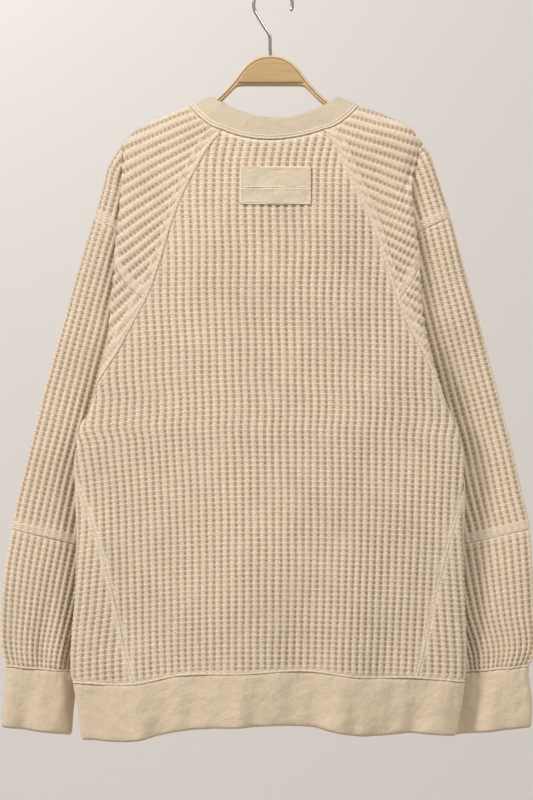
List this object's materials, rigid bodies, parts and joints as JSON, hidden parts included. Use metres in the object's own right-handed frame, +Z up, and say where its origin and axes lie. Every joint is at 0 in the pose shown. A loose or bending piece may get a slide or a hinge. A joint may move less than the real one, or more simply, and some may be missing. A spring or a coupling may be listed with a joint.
{
  "type": "sweater on a clothes hanger",
  "caption": "Oversized waffle-knit sweatshirt with raglan shoulder caps, smooth neckband, cuffs and hem band, hanging flat on a small wooden hanger with a wire hook.",
  "frame": {"origin": "the point under the top of the hook's arc where a rail or peg carries it, in the hook wire's plane", "axes": "+Z up, the garment's back faces -Y, and +X is to the right as seen from behind"},
  "size_m": [0.5889, 0.0666, 0.8322],
  "materials": {
    "waffle_knit": "matt cotton waffle knit, cream to oatmeal",
    "jersey": "matt cotton jersey with a soft marl",
    "patch_cloth": "matt cotton jersey, left bare",
    "light_wood": "pale satin lacquer",
    "tan_inlay": "matt, left bare",
    "steel_wire": "polished"
  },
  "bodies": {
    "root": {"back_panel": "waffle_knit", "front_panel": "waffle_knit", "shoulder_left": "waffle_knit", "shoulder_right": "waffle_knit", "sleeve_upper_left": "waffle_knit", "sleeve_upper_right": "waffle_knit", "sleeve_lower_left": "waffle_knit", "sleeve_lower_right": "waffle_knit", "side_panel_left": "waffle_knit", "side_panel_right": "waffle_knit", "cuff_left": "jersey", "cuff_right": "jersey", "hem_band": "jersey", "neckband": "jersey", "back_patch": "patch_cloth", "hanger_body": "light_wood", "hanger_panel": "tan_inlay", "hanger_hook": "steel_wire"}
  },
  "joints": []
}
